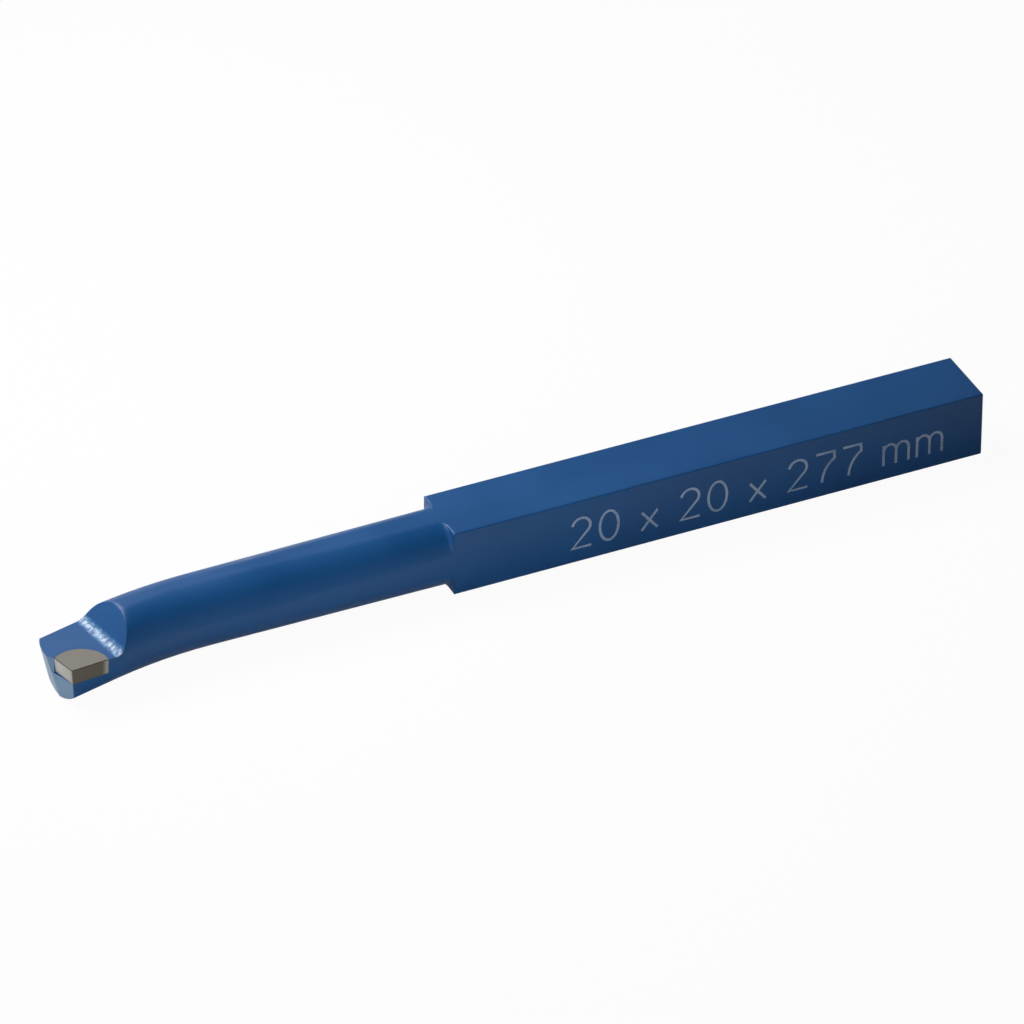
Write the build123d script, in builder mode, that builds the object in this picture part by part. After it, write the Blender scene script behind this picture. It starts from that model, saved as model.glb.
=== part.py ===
from build123d import *
from math import cos, radians, sin, sqrt, tan
import os

# Boring bar with a brazed carbide tip. Millimetres and degrees.
# The bar lies along X with its cutting end at -X, its cutting side at -Y and its
# seat face at Z = 0. The origin is the centre of the shank's seat face.

# --- Square bar and its turned neck ---
BAR_SIDE = 20.0  # square bar, across the flats
SHANK_LENGTH = 160.0  # back end to shoulder
EDGE_RADIUS = 0.4  # rounded long edges of the drawn bar
BACK_CHAMFER = 0.25  # edge break round the sawn back end
NECK_LENGTH = 70.0  # shoulder to the start of the bend
SHOULDER_DIAMETER = 21.2  # turned neck at the shoulder
NECK_DIAMETER = 20.3  # turned neck at the bend, and on to the end face
SHOULDER_FILLET = 1.0  # concave foot of the shoulder
BEND_RADIUS = 130.0  # centre line of the bend
BEND_ANGLE = 14.0  # bend that sets the head over to the cutting side

# --- Head ---
CUTTING_HEIGHT = 12.0  # steel rake flat above the seat face
HEAD_LENGTH = 14.3  # end of the bend to the cutting corner, along the head
NOSE_IN = 2.55  # neck's side to the cutting corner, across the head
APPROACH_ANGLE = 75.0  # end cutting edge to the bar's axis
TRAILING_ANGLE = 4.5  # side cutting edge to the bar's axis
FACE_ANGLE = 69.5  # steel end face beside and under the tip, to the bar's axis
WHEEL_BORDER = 0.2  # grinding of the tip's end flank runs this far past the pocket
WHEEL_ANGLE = 50.0  # run-out of that grinding into the steel, to the bar's axis
END_REACH = 3.5  # cutting corner to the far part of the end face, along X
END_ROUND = 12.0  # radius of the far corner, seen from above
END_ROUND_START = 12.0  # cutting corner to the start of that radius, along Y
STEEL_CLEARANCE = 6.0  # steel end face and side flank, from the vertical
FAR_CLEARANCE = 11.0  # far part of the end face, from the vertical
FLANK_LENGTH = 25.0  # cutting corner to the back of the side flank's cut
GULLET_LENGTH = 15.2  # cutting corner to the foot of the ramp, square to it
GULLET_ANGLE = 10.0  # foot of the ramp, from square across the bar
GULLET_RADIUS = 4.0  # concave foot of the ramp
RAMP_ANGLE = 58.0  # slope of the ramp behind the rake flat

# --- Carbide tip and its braze ---
TIP_ROUND = 8.0  # radius of the tip's back
TIP_CENTRE_BACK = 2.9  # cutting corner to that radius's centre, along the side edge
TIP_CENTRE_IN = 0.8  # side edge to that centre
TIP_THICKNESS = 4.6
TIP_STAND = 0.2  # tip's rake face above the steel flat
TIP_CLEARANCE = 5.0  # tip's flanks, from the vertical
NOSE_RADIUS = 0.6  # cutting corner, seen from above
EDGE_HONE = 0.2  # bevel along the cutting edges
BRAZE_GAP = 0.15  # filler under and behind the tip

# --- Places worked out from the sizes ---
SHOULDER_X = -SHANK_LENGTH / 2
BEND_X = SHOULDER_X - NECK_LENGTH
AXIS_Z = BAR_SIDE / 2
POCKET_DEPTH = TIP_THICKNESS - TIP_STAND + BRAZE_GAP
CUTTER = 2 * BAR_SIDE  # cutters reach this far past what they cut


def heading(angle):
    """Unit vector in plan, turned from +X towards +Y."""
    return Vector(cos(radians(angle)), sin(radians(angle)))


# The neck's centre line is straight, bends towards the cutting side and runs
# straight through the head. It is longer than the head, which is cut from it.
with BuildLine() as centre_line:
    bend = JernArc((BEND_X, 0, AXIS_Z), (-1, 0, 0), BEND_RADIUS, BEND_ANGLE)
    Line(bend @ 1, (bend @ 1) + (bend % 1) * CUTTER)

back = heading(BEND_ANGLE)  # from the end face back along the head
bend_end = Vector((bend @ 1).X, (bend @ 1).Y)
nose_out = back.rotate(Axis.Z, -90) * (NECK_DIAMETER / 2 - NOSE_IN)
nose = bend_end - back * HEAD_LENGTH + nose_out
gullet_way = heading(GULLET_ANGLE)
gullet_foot = nose + gullet_way * GULLET_LENGTH
side_edge = heading(TRAILING_ANGLE)
end_edge = heading(180 - APPROACH_ANGLE)
face_edge = heading(180 - FACE_ANGLE)
tip_centre = nose + side_edge * TIP_CENTRE_BACK + side_edge.rotate(Axis.Z, 90) * TIP_CENTRE_IN
pocket_radius = TIP_ROUND + BRAZE_GAP
to_centre = tip_centre - nose
centre_along = to_centre.dot(end_edge)
pocket_end = centre_along + sqrt(pocket_radius**2 - to_centre.length**2 + centre_along**2)
wheel_end = nose + end_edge * (pocket_end + WHEEL_BORDER)
run_out = wheel_end + heading(180 - WHEEL_ANGLE) * BAR_SIDE
rake_plane = Plane.XY.offset(CUTTING_HEIGHT)
tip_plane = rake_plane.offset(TIP_STAND)

# ============ GRINDING OF THE HEAD ============
# What the grinding leaves below the rake flat: side flank, end face and the
# rounded far corner, each leaning in by its clearance.
with BuildPart() as ground_head:
    with BuildSketch(rake_plane):
        with BuildLine():
            side_end = nose + side_edge * CUTTER
            face_end = nose + face_edge * CUTTER
            Polyline(nose, side_end, (side_end.X, face_end.Y), face_end, close=True)
        make_face()
    extrude(amount=-CUTTER, taper=STEEL_CLEARANCE)
    with BuildSketch(rake_plane):
        with BuildLine():
            end_x = nose.X - END_REACH
            near_y = nose.Y - CUTTER
            far_straight = Line((end_x, near_y), (end_x, nose.Y + END_ROUND_START))
            far_corner = JernArc(far_straight @ 1, (0, 1), END_ROUND, -60)
            far_end = (far_corner @ 1) + (far_corner % 1) * CUTTER
            Polyline(far_corner @ 1, far_end, (far_end.X, near_y), (end_x, near_y))
        make_face()
    extrude(amount=-CUTTER, taper=FAR_CLEARANCE, mode=Mode.INTERSECT)

with BuildPart() as head_waste:
    with BuildSketch(rake_plane):
        with Locations((nose.X + FLANK_LENGTH, nose.Y)):
            Rectangle(2 * CUTTER, 2 * CUTTER, align=(Align.MAX, Align.CENTER))
    extrude(amount=-CUTTER)
    add(ground_head.part, mode=Mode.SUBTRACT)

# ============ BAR ============
with BuildPart() as bar:
    # Turned about the neck's axis: shank, shoulder with its fillet, tapered neck
    with BuildSketch(Plane.XZ) as turned_profile:
        shoulder_foot = (SHOULDER_X, AXIS_Z + SHOULDER_DIAMETER / 2)
        with BuildLine():
            Polyline(
                (BEND_X, AXIS_Z),
                (BEND_X, AXIS_Z + NECK_DIAMETER / 2),
                shoulder_foot,
                (SHOULDER_X, AXIS_Z + BAR_SIDE),
                (SHANK_LENGTH / 2, AXIS_Z + BAR_SIDE),
                (SHANK_LENGTH / 2, AXIS_Z),
                close=True,
            )
        make_face()
        fillet(turned_profile.vertices().sort_by_distance(shoulder_foot)[0], SHOULDER_FILLET)
    revolve(axis=Axis((0, 0, AXIS_Z), (1, 0, 0)))
    # The square bar it was turned from, which leaves narrow flats along the neck
    with BuildSketch(Plane.YZ.offset(BEND_X)):
        with Locations((0, AXIS_Z)):
            RectangleRounded(BAR_SIDE, BAR_SIDE, EDGE_RADIUS)
    extrude(amount=NECK_LENGTH + SHANK_LENGTH, mode=Mode.INTERSECT)
    chamfer(bar.faces().sort_by(Axis.X)[-1].edges(), BACK_CHAMFER)
    # Bent end of the neck, with the same flats
    with BuildSketch(Plane((BEND_X, 0, AXIS_Z), x_dir=(0, 1, 0), z_dir=(-1, 0, 0))):
        Circle(NECK_DIAMETER / 2)
        Rectangle(BAR_SIDE, BAR_SIDE, mode=Mode.INTERSECT)
    sweep(path=centre_line.line)
    # Rake flat, its concave foot and the ramp, milled across the head
    foot_point = (gullet_foot.X, gullet_foot.Y, CUTTING_HEIGHT)
    with BuildSketch(Plane(foot_point, x_dir=gullet_way, z_dir=gullet_way.rotate(Axis.Z, -90))) as gullet:
        ramp_rise = CUTTER * tan(radians(RAMP_ANGLE))
        with BuildLine():
            Polyline((-2 * CUTTER, 0), (0, 0), (CUTTER, ramp_rise), (-2 * CUTTER, ramp_rise), close=True)
        make_face()
        fillet(gullet.vertices().sort_by_distance((0, 0))[0], GULLET_RADIUS)
    extrude(amount=CUTTER, both=True, mode=Mode.SUBTRACT)
    add(head_waste.part, mode=Mode.SUBTRACT)
    # Round pocket for the tip, open at the end face and at the side flank, and the
    # place beside it where the wheel that ground the tip's end flank ran into the steel
    with BuildSketch(rake_plane):
        with Locations(tip_centre):
            Circle(pocket_radius)
        with BuildLine():
            Polyline(tip_centre, wheel_end, run_out, (run_out.X, nose.Y), close=True)
        make_face()
    extrude(amount=-POCKET_DEPTH, mode=Mode.SUBTRACT)
bar.part.label = "bar"

# ============ CARBIDE TIP ============
# Wedge between the two ground flanks of the tip, with a rounded cutting corner and
# honed cutting edges. It runs on below the tip, through the braze.
with BuildPart() as ground_tip:
    with BuildSketch(tip_plane.offset(-EDGE_HONE)) as tip_corner:
        with BuildLine():
            tip_side_end = nose + side_edge * CUTTER
            tip_end_end = nose + end_edge * CUTTER
            Polyline(nose, tip_side_end, (tip_side_end.X, tip_end_end.Y), tip_end_end, close=True)
        make_face()
        fillet(tip_corner.vertices().sort_by_distance(nose)[0], NOSE_RADIUS)
    extrude(amount=EDGE_HONE, taper=45)
    extrude(tip_corner.sketch, amount=EDGE_HONE - TIP_STAND - POCKET_DEPTH, taper=TIP_CLEARANCE)

with BuildPart() as carbide_tip:
    with BuildSketch(tip_plane):
        with Locations(tip_centre):
            Circle(TIP_ROUND)
    extrude(amount=-TIP_THICKNESS)
    add(ground_tip.part, mode=Mode.INTERSECT)
carbide_tip.part.label = "carbide_tip"

# ============ BRAZE ============
# Filler film under the tip and round its back, flush with the flat and the flanks
with BuildPart() as braze_layer:
    with BuildSketch(rake_plane):
        with Locations(tip_centre):
            Circle(pocket_radius)
    extrude(amount=-POCKET_DEPTH)
    with BuildSketch(rake_plane):
        with Locations(tip_centre):
            Circle(TIP_ROUND)
    extrude(amount=-(POCKET_DEPTH - BRAZE_GAP), mode=Mode.SUBTRACT)
    add(ground_tip.part, mode=Mode.INTERSECT)
braze_layer.part.label = "braze_layer"

os.makedirs("parts", exist_ok=True)
export_step(bar.part, "parts/bar.step")
export_step(carbide_tip.part, "parts/carbide_tip.step")
export_step(braze_layer.part, "parts/braze_layer.step")
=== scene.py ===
from math import cos, pi, radians, sin

import bpy
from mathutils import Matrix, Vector


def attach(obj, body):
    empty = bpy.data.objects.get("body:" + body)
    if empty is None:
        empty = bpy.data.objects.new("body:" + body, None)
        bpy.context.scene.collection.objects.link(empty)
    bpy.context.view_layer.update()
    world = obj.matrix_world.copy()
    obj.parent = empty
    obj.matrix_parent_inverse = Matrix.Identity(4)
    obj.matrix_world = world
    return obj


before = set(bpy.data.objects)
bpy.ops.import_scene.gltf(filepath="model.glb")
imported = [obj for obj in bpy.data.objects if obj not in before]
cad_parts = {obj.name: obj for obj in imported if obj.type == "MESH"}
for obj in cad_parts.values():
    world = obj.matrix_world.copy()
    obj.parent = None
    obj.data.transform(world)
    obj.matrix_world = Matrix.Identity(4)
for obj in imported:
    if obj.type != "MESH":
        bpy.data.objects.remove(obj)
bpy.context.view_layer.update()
scene = bpy.context.scene

# Bar: the square shank, the round neck and the head, all one piece of tool steel.
# The neck is turned from the square and bent over hot, the head is milled and
# ground, and then all of it but the tip is sprayed with blue enamel.


class Wire:
    """A socket in a finish's node tree. Sums, differences and products add Math nodes."""

    def __init__(self, tree, socket=None):
        self.tree = tree
        self.socket = socket

    def node(self, kind, settings, sockets, output=0):
        """Any other node: its settings are set first, then its sockets' values or links."""
        made = self.tree.nodes.new(kind)
        for name, value in settings.items():
            setattr(made, name, value)
        for name, value in sockets.items():
            if isinstance(value, Wire):
                self.tree.links.new(value.socket, made.inputs[name])
            else:
                made.inputs[name].default_value = value
        return Wire(self.tree, made.outputs[output]) if made.outputs else None

    def sum_node(self, operation, *values):
        return self.node("ShaderNodeMath", {"operation": operation}, dict(enumerate(values)))

    def __add__(self, other):
        return self.sum_node("ADD", self, other)

    def __radd__(self, other):
        return self.sum_node("ADD", other, self)

    def __sub__(self, other):
        return self.sum_node("SUBTRACT", self, other)

    def __rsub__(self, other):
        return self.sum_node("SUBTRACT", other, self)

    def __mul__(self, other):
        return self.sum_node("MULTIPLY", self, other)

    def __rmul__(self, other):
        return self.sum_node("MULTIPLY", other, self)


def start_finish(name):
    """A new material whose node tree is empty, and a wire to build it with."""
    material = bpy.data.materials.new(name)
    material.use_nodes = True
    material.node_tree.nodes.clear()
    return material, Wire(material.node_tree)


def close_finish(wire, sockets):
    """The surface of a finish, from the values or wires of its sockets."""
    surface = wire.node("ShaderNodeBsdfPrincipled", {}, sockets)
    wire.node("ShaderNodeOutputMaterial", {}, {"Surface": surface})


def give_finish(node, material):
    """Lay one finish over a whole node of the frame."""
    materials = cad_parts[node].data.materials
    materials.clear()
    materials.append(material)


def places(wire):
    """Where each point of the piece is, in metres."""
    return wire.node("ShaderNodeTexCoord", {}, {}, output="Object")


def facings(wire):
    """Which way each point of the piece faces, each part of it from -1 to 1."""
    return wire.node("ShaderNodeNewGeometry", {}, {}, output="Normal")


def part_along(wire, vector, axis):
    """The part of a vector along one axis."""
    return wire.node("ShaderNodeSeparateXYZ", {}, {"Vector": vector}, output=axis)


def stretch(wire, place, scale):
    """Places scaled along each axis, so that noise on them is drawn out into lines."""
    return wire.node("ShaderNodeMapping", {}, {"Vector": place, "Scale": scale})


def noise(wire, place, size, detail=3.0, roughness=0.5, swirl=0.0):
    """Noise between 0 and 1, whose lumps are about `size` metres across."""
    sockets = {"Vector": place, "Scale": 1.0 / size, "Detail": detail}
    sockets |= {"Roughness": roughness, "Distortion": swirl}
    return wire.node("ShaderNodeTexNoise", {"noise_dimensions": "3D"}, sockets)


def step_between(wire, value, low, high, out_low=0.0, out_high=1.0):
    """Smooth change from out_low to out_high while value goes from low to high."""
    sockets = {"Value": value, "From Min": low, "From Max": high}
    sockets |= {"To Min": out_low, "To Max": out_high}
    return wire.node("ShaderNodeMapRange", {"interpolation_type": "SMOOTHSTEP"}, sockets)


def band_between(wire, value, low, high, blur):
    """1 where value lies between low and high, fading out over blur on both sides."""
    rise = step_between(wire, value, low - blur, low)
    return rise * (1 - step_between(wire, value, high, high + blur))


def mix_colours(wire, share, first, second):
    """Colour that goes from first to second as share goes from 0 to 1."""
    sockets = {0: share, 6: first, 7: second}
    return wire.node("ShaderNodeMix", {"data_type": "RGBA"}, sockets, output=2)


def relief(wire, height, depth, strength, **under):
    """Bumps `depth` metres high where height goes from 0 to 1, on the Normal under them."""
    sockets = {"Height": height, "Distance": depth, "Strength": strength}
    return wire.node("ShaderNodeBump", {}, sockets | under)


def painted_edge(wire, radius, samples):
    """Facings that turn smoothly over an edge, as paint rounds it."""
    return wire.node("ShaderNodeBevel", {"samples": samples}, {"Radius": radius})


NOISE_RANGE = (0.3, 0.7)  # nearly all of a noise lies between these
NOISE_MIDDLE = (0.35, 0.65)

ENAMEL = (0.0050, 0.0620, 0.1950, 1.0)
ENAMEL_DEEP = (0.0045, 0.0560, 0.1800, 1.0)  # a slightly thicker coat
ENAMEL_END_SHEEN = (0.1100, 0.2150, 0.3550, 1.0)  # painted sheen: the end face lighter and greyer, for the gloss of light from the left
ENAMEL_GULLET_HIGHLIGHT = (0.0700, 0.2500, 0.4300, 1.0)  # painted highlight: lighter flecks for the light the gullet's fillet reflects
ENAMEL_NIB = (0.0300, 0.1000, 0.2500, 1.0)  # specks of dust under the paint
ENAMEL_ROUGHNESS = (0.36, 0.44)
CLOUD_SIZE = 0.020  # clouds of thicker and thinner paint
PEEL_SIZE = 0.0011  # orange peel
DUST_SIZE = 0.00035
NIB_SIZE = 0.00045
NIB_PEAKS = (0.70, 0.78)  # only the tops of the noise are nibs
SKIN_DEPTH = 0.0004
SKIN_STRENGTH = 0.12
CRISP_EDGE = 0.0004  # radius that the paint gives a sharp edge
FLOWED_EDGE = 0.0022  # the same over the narrow flats along the neck

# Along the bar: the head's finish ends at HEAD_TO, the neck's lies between the others
HEAD_TO = -0.1660
HEAD_BLUR = 0.0020
NECK_FROM = -0.1735
NECK_TO = -0.0815
NECK_BLUR = 0.0030

# How the faces are told apart, by how far each looks along X, Y or Z
END_FACE_X = (-0.75, -0.55)
END_FACE_Z = (0.10, 0.30)
END_FACE_SHEEN_SHARE = 0.9
END_FACE_GLAZE = 0.35
GULLET_X = (-0.68, -0.10)
GULLET_BLUR = 0.10
GULLET_Y = (0.02, 0.12)
GULLET_Z = (0.35, 0.50)
BACK_END_X = (0.85, 0.95)

# Saw marks on the back end, and runs in the gullet of glossy paint and of painted highlight
SAW_SIZE = 0.0009
SAW_STRETCH = (1.0, 0.04, 1.0)
RUN_SIZE = 0.0012
RUN_DEPTH = 0.0005
RUN_STRENGTH = 0.5
HIGHLIGHT_PEAKS = (0.42, 0.62)
HIGHLIGHT_SHARE = (0.05, 0.55)
GLAZE_PEAKS = (0.44, 0.62)
GLAZE_WEIGHT = (0.03, 0.42)

enamel, paint = start_finish("blue_enamel_sprayed")
place = places(paint)
along = part_along(paint, place, "X")
facing = facings(paint)
face_x, face_y, face_z = (part_along(paint, facing, axis) for axis in "XYZ")

head = 1 - step_between(paint, along, HEAD_TO - HEAD_BLUR, HEAD_TO)
neck = band_between(paint, along, NECK_FROM, NECK_TO, NECK_BLUR)
end_face = (
    head
    * (1 - step_between(paint, face_x, *END_FACE_X))
    * (1 - step_between(paint, face_z, *END_FACE_Z))
)
gullet = (
    head
    * band_between(paint, face_x, *GULLET_X, GULLET_BLUR)
    * (1 - step_between(paint, face_y, *GULLET_Y))
    * step_between(paint, face_z, *GULLET_Z)
)
back_end = step_between(paint, face_x, *BACK_END_X)

clouds = noise(paint, place, CLOUD_SIZE, detail=2.0)
peel = noise(paint, place, PEEL_SIZE, detail=2.0)
dust = noise(paint, place, DUST_SIZE, roughness=0.6)
nibs = step_between(paint, noise(paint, place, NIB_SIZE, detail=2.0), *NIB_PEAKS)
saw_marks = noise(paint, stretch(paint, place, SAW_STRETCH), SAW_SIZE, detail=2.0)
runs = noise(paint, place, RUN_SIZE, swirl=0.6)

crisp = painted_edge(paint, CRISP_EDGE, samples=4)
flowed = painted_edge(paint, FLOWED_EDGE, samples=6)
edges = paint.node(
    "ShaderNodeMix", {"data_type": "VECTOR"}, {0: neck, 4: crisp, 5: flowed}, output=1
)
skin_height = peel * 0.7 + dust * 0.3 + nibs * 0.5 + back_end * saw_marks * 1.5
skin = relief(paint, skin_height, SKIN_DEPTH, SKIN_STRENGTH, Normal=edges)

thickness = step_between(paint, clouds, *NOISE_MIDDLE)
# painted highlight: lighter blue flecks along the gullet's concave fillet
gullet_highlight = gullet * step_between(paint, runs, *HIGHLIGHT_PEAKS, *HIGHLIGHT_SHARE)
glaze = gullet * step_between(paint, runs, *GLAZE_PEAKS, *GLAZE_WEIGHT)
colour = mix_colours(paint, thickness, ENAMEL_DEEP, ENAMEL)
# painted sheen: the end face mixed towards a lighter, greyer blue
colour = mix_colours(paint, end_face * END_FACE_SHEEN_SHARE, colour, ENAMEL_END_SHEEN)
colour = mix_colours(paint, nibs * 0.5, colour, ENAMEL_NIB)
colour = mix_colours(paint, gullet_highlight, colour, ENAMEL_GULLET_HIGHLIGHT)
close_finish(
    paint,
    {
        "Base Color": colour,
        "Roughness": step_between(paint, clouds, *NOISE_RANGE, *ENAMEL_ROUGHNESS),
        "Normal": relief(paint, runs * gullet, RUN_DEPTH, RUN_STRENGTH, Normal=skin),
        "Specular IOR Level": 0.36,
        "Coat Weight": glaze + end_face * END_FACE_GLAZE,
        "Coat Roughness": 0.22,
        "Coat IOR": 1.6,
    },
)
give_finish("bar", enamel)

# Carbide tip: a small block of sintered tungsten carbide, round at its back. It is
# brazed into the head's pocket, then its two flanks are ground on a diamond wheel,
# and its cutting edges are honed. Its colour holds painted light: the end flank is
# lighter, and the side flank and the honed edges are darker.
CARBIDE = (0.118, 0.112, 0.092, 1.0)
CARBIDE_LIGHT = (0.165, 0.156, 0.132, 1.0)
CARBIDE_END_HIGHLIGHT = (0.500, 0.495, 0.465, 1.0)  # painted highlight: the end flank lighter, for the light it catches from the left
CARBIDE_HONE_SHADE = (0.045, 0.038, 0.030, 1.0)  # painted shade: the honed bevel along the cutting edges darker, for the dark surroundings it reflects
CARBIDE_SIDE_SHADE = (0.067, 0.054, 0.028, 1.0)  # painted shade: the side flank darker and browner, streaked along the wheel's lines
CARBIDE_ROUGHNESS = (0.38, 0.50)
PALE_BACK_GREY = (0.300, 0.305, 0.290, 1.0)  # a pale grey strip on the side flank at the tip's back
GRAIN_SIZE = 0.0006
GRIND_SIZE = 0.0004  # lines left by the wheel
GRIND_STRETCH = (1.0, 1.0, 12.0)
GRIND_DEPTH = 0.0002
GRIND_STRENGTH = 0.15
HONE_Z = (0.50, 0.90)
HONE_BLUR = 0.04
SIDE_FLANK_Y = (-0.90, -0.70)
END_FLANK_X = (-0.90, -0.75)
END_HIGHLIGHT_SHARE = (0.9, 0.0)
END_HIGHLIGHT_ACROSS = (-0.0150, -0.0080)  # painted highlight, brighter away from the cutting corner
END_HIGHLIGHT_FADE = (0.65, 1.0)
SIDE_SHADE_SHARE = (0.5, 0.9)
WANDER_SIZE = 0.0016
WANDER_REACH = 0.0022  # how far the pale strip's front edge wanders
PALE_BACK_ALONG = (-0.1836, -0.1818)
PALE_BACK_SHARE = (0.0, 0.9)

carbide, grind = start_finish("ground_carbide")
place = places(grind)
along, across = (part_along(grind, place, axis) for axis in "XY")
facing = facings(grind)
face_x, face_y, face_z = (part_along(grind, facing, axis) for axis in "XYZ")

grain = noise(grind, place, GRAIN_SIZE, detail=4.0, roughness=0.6)
wheel_lines = noise(grind, stretch(grind, place, GRIND_STRETCH), GRIND_SIZE, roughness=0.6)
wander = noise(grind, place, WANDER_SIZE, roughness=0.6, swirl=0.5)
hone_shade = band_between(grind, face_z, *HONE_Z, HONE_BLUR)
side_flank = 1 - step_between(grind, face_y, *SIDE_FLANK_Y)
end_flank = step_between(grind, face_x, *END_FLANK_X, *END_HIGHLIGHT_SHARE)
end_highlight = end_flank * step_between(grind, across, *END_HIGHLIGHT_ACROSS, *END_HIGHLIGHT_FADE)
side_shade = side_flank * step_between(grind, wheel_lines, *NOISE_RANGE, *SIDE_SHADE_SHARE)
pale_back_edge = along + wander * WANDER_REACH
pale_back = side_flank * step_between(grind, pale_back_edge, *PALE_BACK_ALONG, *PALE_BACK_SHARE)

colour = mix_colours(grind, grain * 0.6 + wheel_lines * 0.4, CARBIDE, CARBIDE_LIGHT)
# painted highlight: the end flank lighter
colour = mix_colours(grind, end_highlight, colour, CARBIDE_END_HIGHLIGHT)
# painted shade: the side flank darker
colour = mix_colours(grind, side_shade, colour, CARBIDE_SIDE_SHADE)
# a pale grey strip on the side flank near the tip's back
colour = mix_colours(grind, pale_back, colour, PALE_BACK_GREY)
# painted shade: the honed bevel darker
colour = mix_colours(grind, hone_shade, colour, CARBIDE_HONE_SHADE)
grind_height = wheel_lines * 0.6 + grain * 0.4
close_finish(
    grind,
    {
        "Base Color": colour,
        "Metallic": 0.15,
        "Roughness": step_between(grind, grain, *NOISE_RANGE, *CARBIDE_ROUGHNESS),
        "Normal": relief(grind, grind_height, GRIND_DEPTH, GRIND_STRENGTH),
    },
)
give_finish("carbide_tip", carbide)

# Braze: the film of brass filler that holds the tip in its pocket. It is melted in
# with the tip and ground off with its flanks, so that only a dull line of it shows.
BRASS = (0.180, 0.150, 0.085, 1.0)
BRASS_TARNISHED = (0.075, 0.065, 0.045, 1.0)
BRASS_ROUGHNESS = (0.40, 0.60)
FLOW_SIZE = 0.0009
FLOW_DEPTH = 0.0002
FLOW_STRENGTH = 0.2

filler, melt = start_finish("braze_filler")
flow = noise(melt, places(melt), FLOW_SIZE, roughness=0.6)
bright = step_between(melt, flow, *NOISE_MIDDLE)
close_finish(
    melt,
    {
        "Base Color": mix_colours(melt, bright, BRASS_TARNISHED, BRASS),
        "Metallic": 0.6,
        "Roughness": step_between(melt, flow, *NOISE_RANGE, *BRASS_ROUGHNESS),
        "Normal": relief(melt, flow, FLOW_DEPTH, FLOW_STRENGTH),
    },
)
give_finish("braze_layer", filler)

# Size marks: plain numerals for the bar's section and length, on the cutting side of
# the shank. A laser draws them stroke by stroke and burns the enamel pale.
MARK_WORDS = ("20", "x", "20", "x", "277", "mm")
MARK_HEIGHT = 0.0096
MARK_STROKE = 0.00078
MARK_START = -0.0450  # along the bar
MARK_FOOT = 0.0047  # above the seat face
MARK_PROUD = 0.00001  # each stroke of a sign lies this far above the one before
SHANK_SIDE = -0.0100  # the shank's cutting side along Y
LETTER_GAP = 0.0026
WORD_GAP = 0.0070
SHARPEST_TURN = 0.6  # cosine beyond which a stroke's corner isn't drawn out any more
MARK_GREY = (0.270, 0.340, 0.460, 1.0)
MARK_BLUE = (0.090, 0.160, 0.300, 1.0)
MARK_ROUGHNESS = (0.5, 0.7)
SPECK_SIZE = 0.00040
SPECK_DEPTH = 0.0001
SPECK_STRENGTH = 0.3
WASH_SIZE = 0.0060
BURNT_PEAKS = (0.38, 0.52)


def arc(centre, radii, first, last, steps):
    """Points round an ellipse from one angle to another, in degrees."""
    turns = [radians(first + (last - first) * k / steps) for k in range(steps + 1)]
    return [
        (centre[0] + radii[0] * cos(turn), centre[1] + radii[1] * sin(turn)) for turn in turns
    ]


# Width and strokes of each sign, on a height of 1
SIGNS = {
    "0": (0.58, [arc((0.29, 0.50), (0.29, 0.50), 90, 450, 36)]),
    "2": (0.60, [arc((0.29, 0.72), (0.28, 0.28), 170, -32, 18) + [(0.01, 0.0), (0.60, 0.0)]]),
    "7": (0.58, [[(0.0, 1.0), (0.57, 1.0)] + arc((1.02, 0.0), (0.82, 0.90), 122, 180, 10)]),
    "x": (0.50, [[(0.0, 0.0), (0.50, 0.62)], [(0.0, 0.62), (0.50, 0.0)]]),
    "m": (
        0.80,
        [
            [(0.0, 0.0), (0.0, 0.70)],
            [(0.0, 0.40)] + arc((0.20, 0.48), (0.20, 0.22), 170, 0, 10) + [(0.40, 0.0)],
            [(0.40, 0.40)] + arc((0.60, 0.48), (0.20, 0.22), 170, 0, 10) + [(0.80, 0.0)],
        ],
    ),
}


def ribbon(line, start):
    """Corners and faces of a flat stroke along a line of points on the shank's side."""
    points = [Vector(point) * MARK_HEIGHT for point in line]
    closed = (points[0] - points[-1]).length < MARK_STROKE / 100
    if closed:
        points.pop()
    count = len(points)
    corners = []
    for k, point in enumerate(points):
        before = points[k - 1] if closed or k else point
        after = points[(k + 1) % count] if closed or k < count - 1 else point
        ways = [way.normalized() for way in (point - before, after - point) if way.length > 0]
        mean = (ways[0] + ways[-1]).normalized()
        reach = MARK_STROKE / 2 / max(mean.dot(ways[0]), SHARPEST_TURN)
        offset = Vector((-mean.y, mean.x)) * reach
        corners += [point - offset, point + offset]
    faces = []
    for k in range(count if closed else count - 1):
        near, far = start + 2 * k, start + 2 * ((k + 1) % count)
        faces.append((near, far, far + 1, near + 1))
    return corners, faces


def new_piece(name, corners, faces, material):
    """A piece made from its corners and faces, with one finish."""
    mesh = bpy.data.meshes.new(name)
    mesh.from_pydata(corners, [], faces)
    mesh.materials.append(material)
    piece = bpy.data.objects.new(name, mesh)
    scene.collection.objects.link(piece)
    return piece


lasered, burn = start_finish("laser_mark")
place = places(burn)
speck = noise(burn, place, SPECK_SIZE, roughness=0.7)
wash = noise(burn, place, WASH_SIZE, detail=2.0)
burnt = step_between(burn, speck * 0.7 + wash * 0.3, *BURNT_PEAKS)
close_finish(
    burn,
    {
        "Base Color": mix_colours(burn, burnt, MARK_BLUE, MARK_GREY),
        "Metallic": 0.1,
        "Roughness": step_between(burn, speck, *NOISE_RANGE, *MARK_ROUGHNESS),
        "Normal": relief(burn, speck, SPECK_DEPTH, SPECK_STRENGTH),
    },
)

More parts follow.
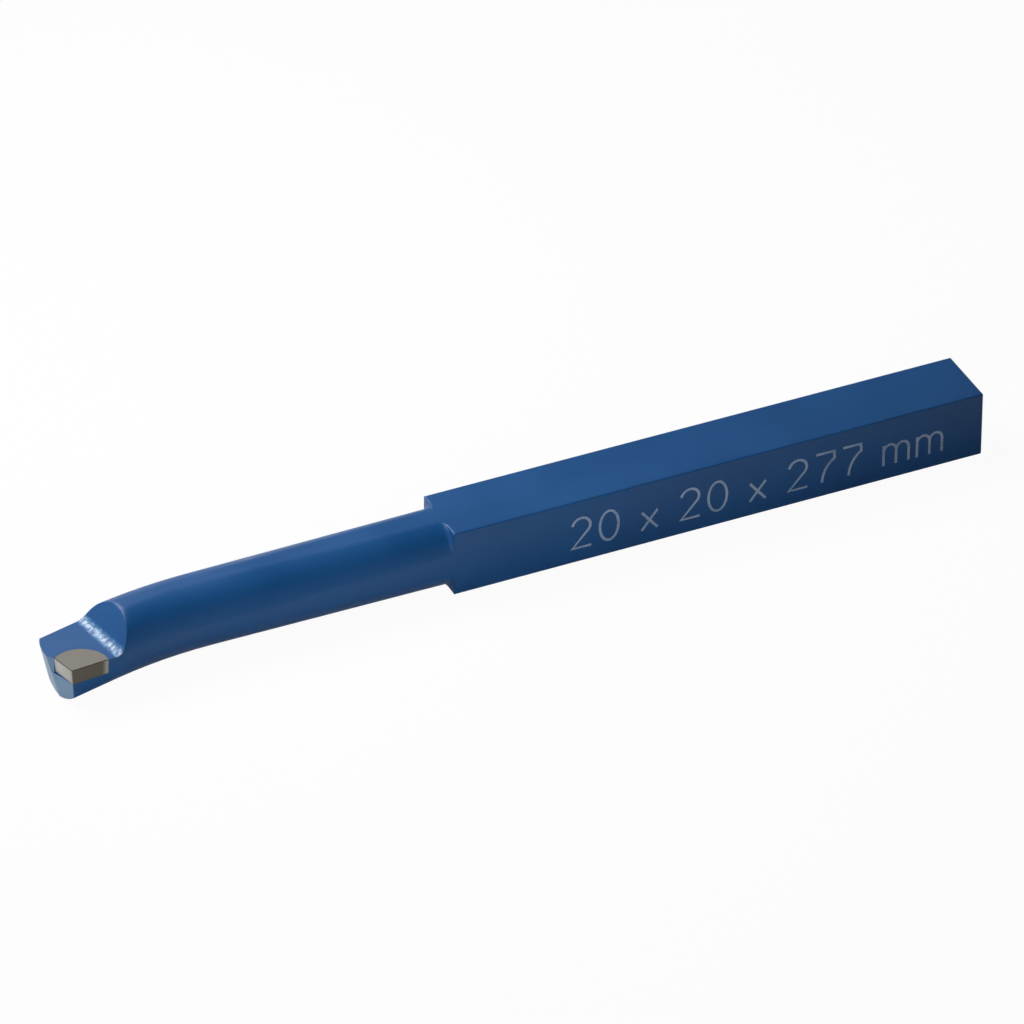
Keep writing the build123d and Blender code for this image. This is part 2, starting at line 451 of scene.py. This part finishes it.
mark_corners, mark_faces = [], []
pen = MARK_START
for word in MARK_WORDS:
    for sign in word:
        width, strokes = SIGNS[sign]
        for layer, stroke in enumerate(strokes, 1):
            corners, faces = ribbon(stroke, len(mark_corners))
            side = SHANK_SIDE - MARK_PROUD * layer
            mark_corners += [(pen + c.x, side, MARK_FOOT + c.y) for c in corners]
            mark_faces += faces
        pen += width * MARK_HEIGHT + LETTER_GAP
    pen += WORD_GAP - LETTER_GAP
marks = new_piece("size_marks", mark_corners, mark_faces, lasered)
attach(marks, "root")

# Floor and backdrop: a sheet of matt white paper under the bar and a ring of white
# cloth hung far behind it. Neither is fixed to the bar.
WHITE = (1.0, 1.0, 1.0, 1.0)
FLOOR_SIDE = 12.0
WALL_RADIUS = 5.9
WALL_HEIGHT = 3.6
WALL_SIDES = 64


def stage_finish(name, grey, seen, gloss):
    """Matt grey, with shares of plain white as it is seen by eye and in gloss."""
    material, wire = start_finish(name)
    camera_ray, glossy_ray, clear_ray = (
        wire.node("ShaderNodeLightPath", {}, {}, output=ray)
        for ray in ("Is Camera Ray", "Is Glossy Ray", "Is Transmission Ray")
    )
    matt = wire.node("ShaderNodeBsdfDiffuse", {}, {"Color": (grey, grey, grey, 1.0)})
    glow = wire.node("ShaderNodeEmission", {}, {"Color": WHITE, "Strength": 1.0})
    share = camera_ray * seen + glossy_ray * gloss + clear_ray * seen
    both = wire.node("ShaderNodeMixShader", {}, {0: share, 1: matt, 2: glow})
    wire.node("ShaderNodeOutputMaterial", {}, {"Surface": both})
    return material


half = FLOOR_SIDE / 2
floor_corners = [(-half, -half, 0), (half, -half, 0), (half, half, 0), (-half, half, 0)]
paper = stage_finish("studio_floor", grey=0.60, seen=0.95, gloss=0.12)
floor = new_piece("floor", floor_corners, [(0, 1, 2, 3)], paper)

turns = [2 * pi * k / WALL_SIDES for k in range(WALL_SIDES)]
wall_corners = [
    (WALL_RADIUS * cos(turn), WALL_RADIUS * sin(turn), z)
    for z in (0.0, WALL_HEIGHT)
    for turn in turns
]
wall_faces = []
for k in range(WALL_SIDES):
    after = (k + 1) % WALL_SIDES
    wall_faces.append((k, k + WALL_SIDES, after + WALL_SIDES, after))
cloth = stage_finish("studio_backdrop", grey=0.80, seen=0.98, gloss=0.45)
wall = new_piece("backdrop", wall_corners, wall_faces, cloth)

# Lights and camera: a large softbox behind the bar lights its top, a small one in
# front of the head lights its cutting side, and the room is dim. The camera stands
# far off with a long lens, in front of the bar and above it.
ROOM_GREY = (0.07, 0.07, 0.07, 1.0)
AZIMUTH = radians(-24.76)
ELEVATION = radians(35.073)
DISTANCE = 2.440357
AIM = Vector((-0.058316, 0.0, 0.014644))
FOCAL_PIXELS = 9000.0
FRAME_PIXELS = 1024.0
SENSOR = 36.0  # millimetres
FARTHEST = 50.0


def softbox(name, centre, aim, width, height, watts, spread, in_gloss=True):
    """A rectangular soft light that faces aim, spread in degrees, seen in gloss or not."""
    lamp = bpy.data.lights.new(name, "AREA")
    lamp.shape = "RECTANGLE"
    lamp.size = width
    lamp.size_y = height
    lamp.energy = watts
    lamp.spread = radians(spread)
    holder = bpy.data.objects.new(name, lamp)
    holder.location = centre
    holder.rotation_euler = (Vector(aim) - Vector(centre)).to_track_quat("-Z", "Y").to_euler()
    holder.visible_glossy = in_gloss
    scene.collection.objects.link(holder)


softbox(
    "key_softbox",
    centre=(-0.30, 0.30, 0.42),
    aim=(-0.05, 0.0, 0.0),
    width=0.45,
    height=0.25,
    watts=2.0,
    spread=110.0,
)
softbox(
    "front_softbox",
    centre=(-0.37, -0.50, 0.20),
    aim=(-0.10, 0.0, 0.0),
    width=0.30,
    height=0.20,
    watts=0.123,
    spread=34.0,
    in_gloss=False,
)

world = bpy.data.worlds.new("studio")
scene.world = world
world.use_nodes = True
world.node_tree.nodes.clear()
room = Wire(world.node_tree)
dim = room.node("ShaderNodeBackground", {}, {"Color": ROOM_GREY, "Strength": 1.0})
room.node("ShaderNodeOutputWorld", {}, {"Surface": dim})

back = Vector(
    (sin(AZIMUTH) * cos(ELEVATION), -cos(AZIMUTH) * cos(ELEVATION), sin(ELEVATION))
)
camera_data = bpy.data.cameras.new("camera")
camera_data.sensor_width = SENSOR
camera_data.lens = SENSOR * FOCAL_PIXELS / FRAME_PIXELS
camera_data.clip_end = FARTHEST
camera = bpy.data.objects.new("camera", camera_data)
camera.location = AIM + back * DISTANCE
camera.rotation_euler = back.to_track_quat("Z", "Y").to_euler()
scene.collection.objects.link(camera)
scene.camera = camera
scene.view_settings.view_transform = "Standard"
